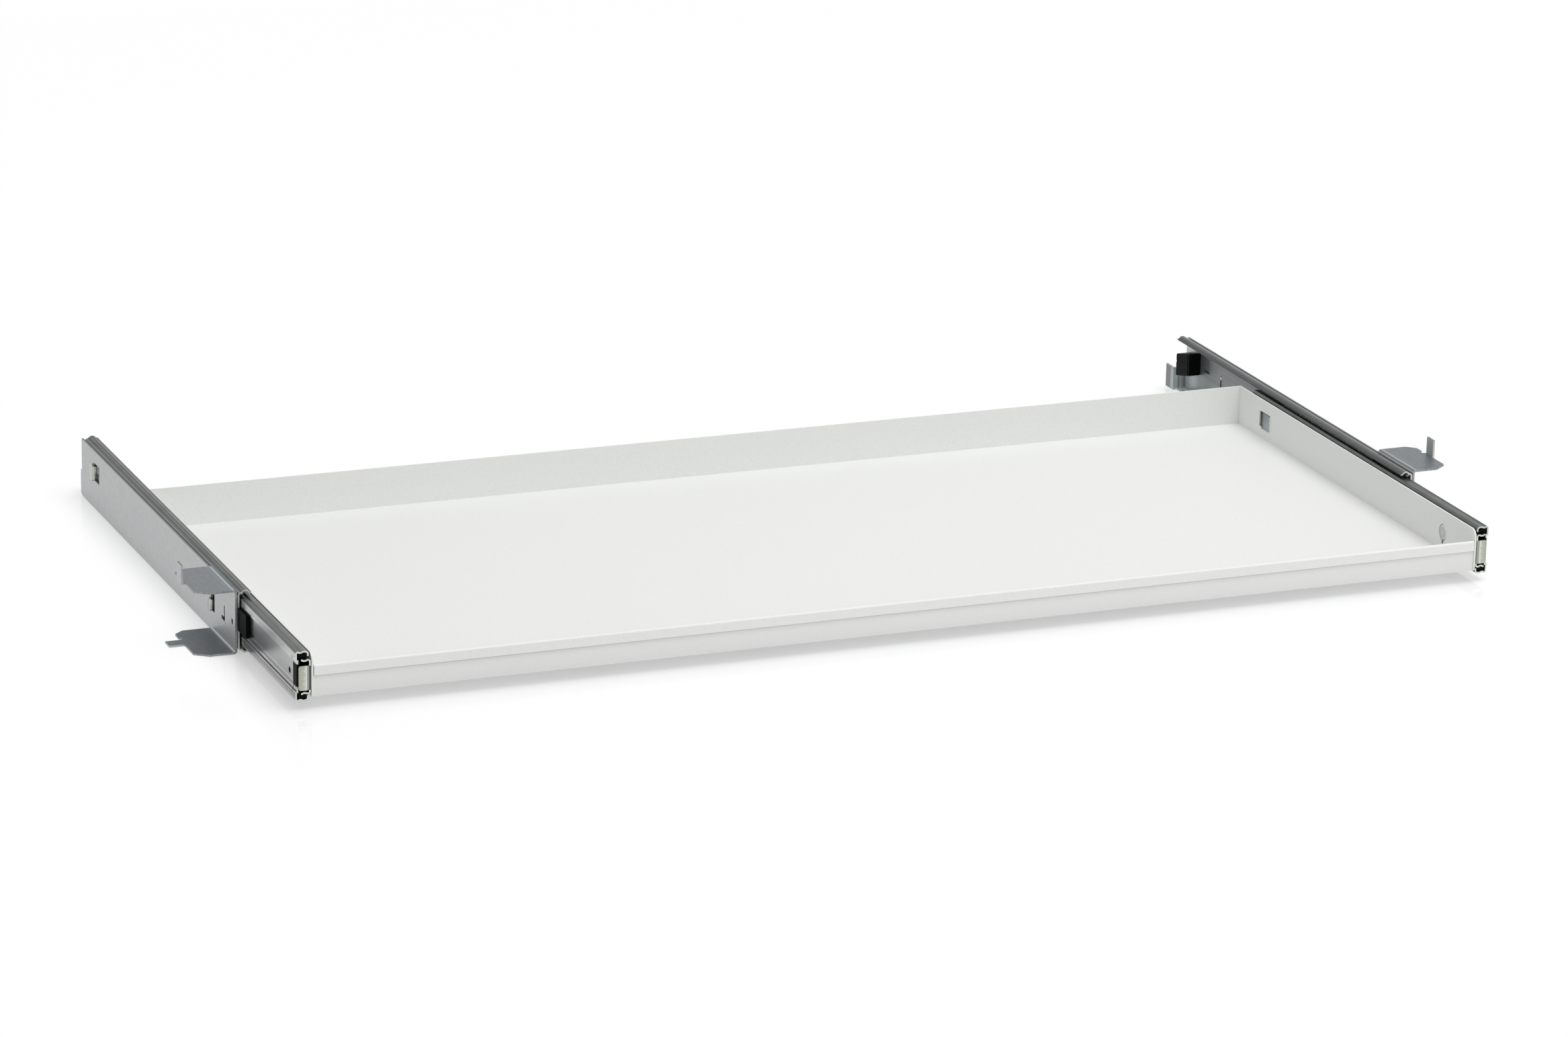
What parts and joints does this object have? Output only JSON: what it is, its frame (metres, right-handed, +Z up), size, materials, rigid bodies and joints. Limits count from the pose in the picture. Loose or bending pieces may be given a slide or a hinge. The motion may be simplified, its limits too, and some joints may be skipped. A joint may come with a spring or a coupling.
{
  "type": "pull-out shelf",
  "caption": "Shallow folded sheet-metal shelf tray on a pair of telescopic ball slides, each hooked into a galvanised mounting bracket, drawn partly pulled out.",
  "frame": {"origin": "middle of the underside of the whole part as drawn, level with the lower edges of the two mounting brackets", "axes": "+X to the right across the shelf seen from its front, -Y the way the shelf pulls out, +Z up"},
  "size_m": [1.016, 0.543, 0.0606],
  "materials": {
    "powder_coat": "off-white powder coat with a fine texture",
    "galvanised": "galvanised sheet steel, mottled grey",
    "dark_zinc": "satin dark grey zinc plate",
    "bright_zinc": "bright zinc plate with whitish-green cut edges",
    "ball_steel": "polished bearing steel",
    "black_plastic": "matte black moulded plastic"
  },
  "bodies": {
    "cabinet_side": {"left_mounting_bracket": "galvanised", "right_mounting_bracket": "galvanised", "left_cabinet_member": "dark_zinc", "right_cabinet_member": "dark_zinc", "left_front_stop": "black_plastic", "right_front_stop": "black_plastic", "left_rear_buffer": "black_plastic", "right_rear_buffer": "black_plastic"},
    "left_middle": {"left_middle_member": "bright_zinc", "left_front_guide": "black_plastic"},
    "right_middle": {"right_middle_member": "bright_zinc", "right_front_guide": "black_plastic"},
    "shelf": {"shelf_tray": "powder_coat", "left_drawer_member": "bright_zinc", "right_drawer_member": "bright_zinc"},
    "left_outer_cage": {"left_outer_retainer": "bright_zinc", "left_outer_balls": "ball_steel"},
    "right_outer_cage": {"right_outer_retainer": "bright_zinc", "right_outer_balls": "ball_steel"},
    "left_inner_cage": {"left_inner_retainer": "bright_zinc", "left_inner_balls": "ball_steel"},
    "right_inner_cage": {"right_inner_retainer": "bright_zinc", "right_inner_balls": "ball_steel"}
  },
  "joints": [
    {"name": "left_middle_slide", "type": "slide", "parent": "cabinet_side", "child": "left_middle", "axis": [0, -1, 0], "range_m": [-0.1165, 0.07]},
    {"name": "right_middle_slide", "type": "slide", "parent": "cabinet_side", "child": "right_middle", "axis": [0, -1, 0], "range_m": [-0.1165, 0.07]},
    {"name": "shelf_slide", "type": "slide", "parent": "left_middle", "child": "shelf", "axis": [0, -1, 0], "range_m": [0, 0.19]},
    {"name": "left_outer_cage_slide", "type": "slide", "parent": "cabinet_side", "child": "left_outer_cage", "axis": [0, -1, 0], "range_m": [-0.05825, 0.035]},
    {"name": "right_outer_cage_slide", "type": "slide", "parent": "cabinet_side", "child": "right_outer_cage", "axis": [0, -1, 0], "range_m": [-0.05825, 0.035]},
    {"name": "left_inner_cage_slide", "type": "slide", "parent": "left_middle", "child": "left_inner_cage", "axis": [0, -1, 0], "range_m": [0, 0.095]},
    {"name": "right_inner_cage_slide", "type": "slide", "parent": "right_middle", "child": "right_inner_cage", "axis": [0, -1, 0], "range_m": [0, 0.095]}
  ],
  "couplings": [
    {"joint": "right_middle_slide", "follows": "left_middle_slide", "ratio": 1},
    {"joint": "left_outer_cage_slide", "follows": "left_middle_slide", "ratio": 0.5},
    {"joint": "right_outer_cage_slide", "follows": "left_middle_slide", "ratio": 0.5},
    {"joint": "left_inner_cage_slide", "follows": "shelf_slide", "ratio": 0.5},
    {"joint": "right_inner_cage_slide", "follows": "shelf_slide", "ratio": 0.5}
  ]
}
